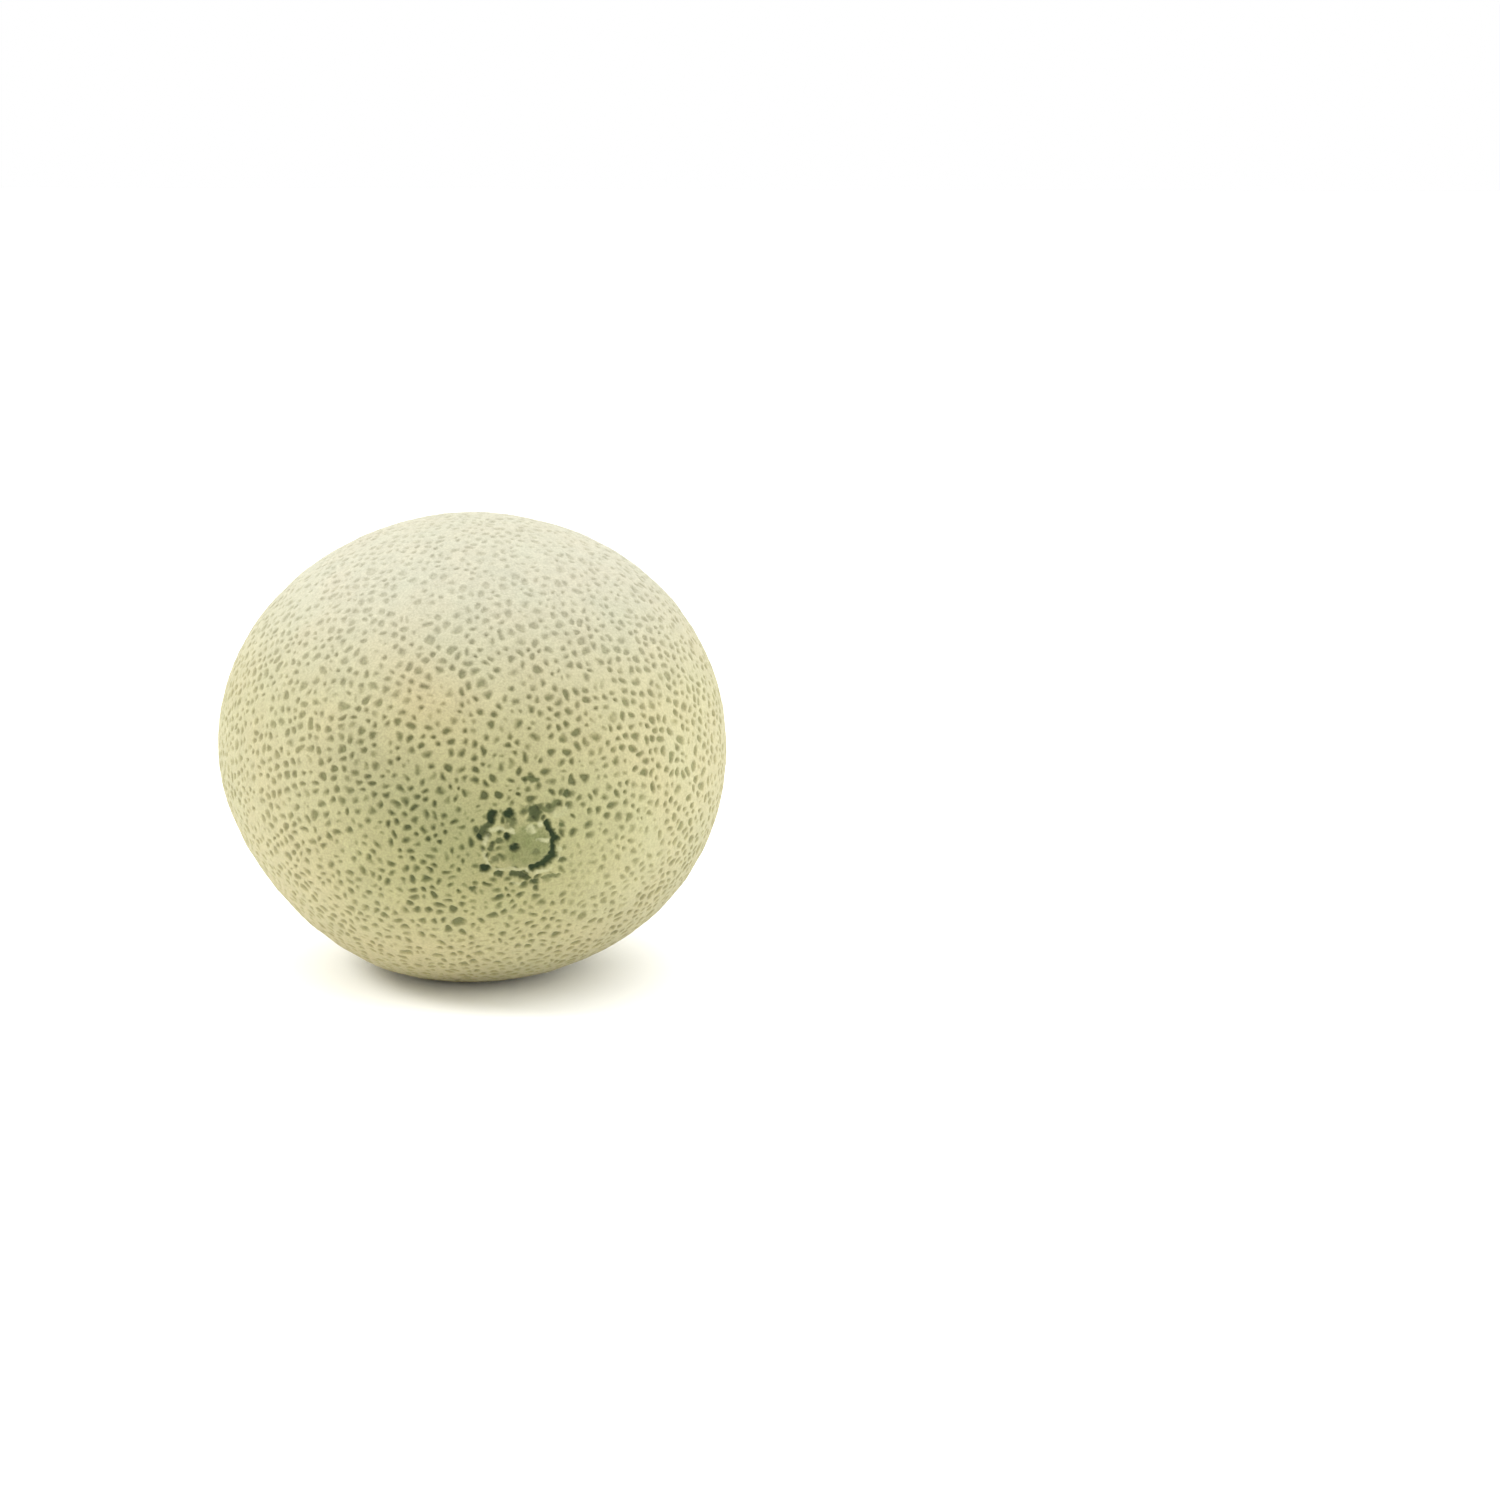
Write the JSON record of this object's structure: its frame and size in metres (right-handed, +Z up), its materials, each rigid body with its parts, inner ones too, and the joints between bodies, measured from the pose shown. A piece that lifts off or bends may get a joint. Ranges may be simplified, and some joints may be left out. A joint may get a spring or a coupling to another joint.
{
  "type": "cantaloupe melon",
  "caption": "Whole netted cantaloupe melon, slightly flattened and lying on its side, with a round blossom scar at one end and a stem dish at the other.",
  "frame": {"origin": "on the surface that the fruit lies on, below the middle of the fruit", "axes": "+Y from the blossom end towards the stem end, +X to the right as seen from the blossom end, +Z up; the blossom end dips 9 degrees"},
  "size_m": [0.1456, 0.1492, 0.1312],
  "materials": {
    "rind": "matte"
  },
  "bodies": {
    "root": {"melon": "rind"}
  },
  "joints": []
}
